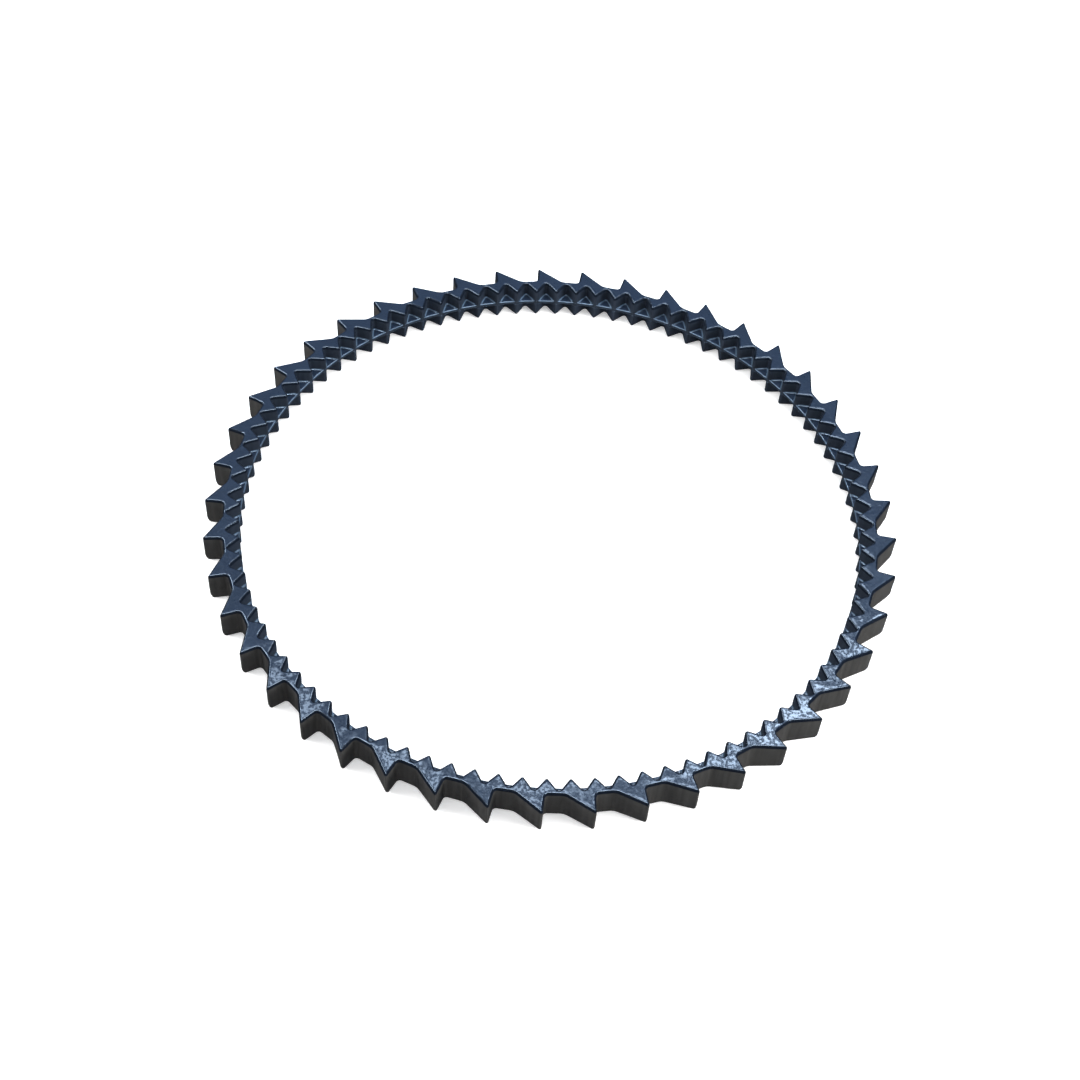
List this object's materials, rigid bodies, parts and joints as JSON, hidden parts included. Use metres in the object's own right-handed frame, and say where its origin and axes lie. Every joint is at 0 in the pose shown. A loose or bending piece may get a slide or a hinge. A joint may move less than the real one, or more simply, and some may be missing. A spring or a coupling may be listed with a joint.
{
  "type": "rubber track",
  "caption": "Endless ring-shaped rubber track with a directional saw-tooth tread outside and two rows of V drive teeth with a locating web inside.",
  "frame": {"origin": "on the ring's axis at mid-width, level with the middle of the web", "axes": "+Z along the ring's axis, the axis of the wheel it runs on; +X through the first tread tooth's tip; seen from +Z the steep faces of the tread teeth face counter-clockwise"},
  "size_m": [0.3047, 0.3048, 0.016],
  "materials": {
    "tread_rubber": "smooth moulded, semi-gloss, blue-black",
    "drive_rubber": "smooth moulded, satin, blue-black",
    "cord_fibre": "twisted fibre cord, sealed inside the rubber"
  },
  "bodies": {
    "root": {"tread_band": "tread_rubber", "drive_row_upper": "drive_rubber", "drive_row_lower": "drive_rubber", "centre_web": "drive_rubber", "tension_cord_turn_1": "cord_fibre", "tension_cord_turn_2": "cord_fibre", "tension_cord_turn_3": "cord_fibre", "tension_cord_turn_4": "cord_fibre", "tension_cord_turn_5": "cord_fibre", "tension_cord_turn_6": "cord_fibre", "tension_cord_turn_7": "cord_fibre", "tension_cord_turn_8": "cord_fibre"}
  },
  "joints": []
}
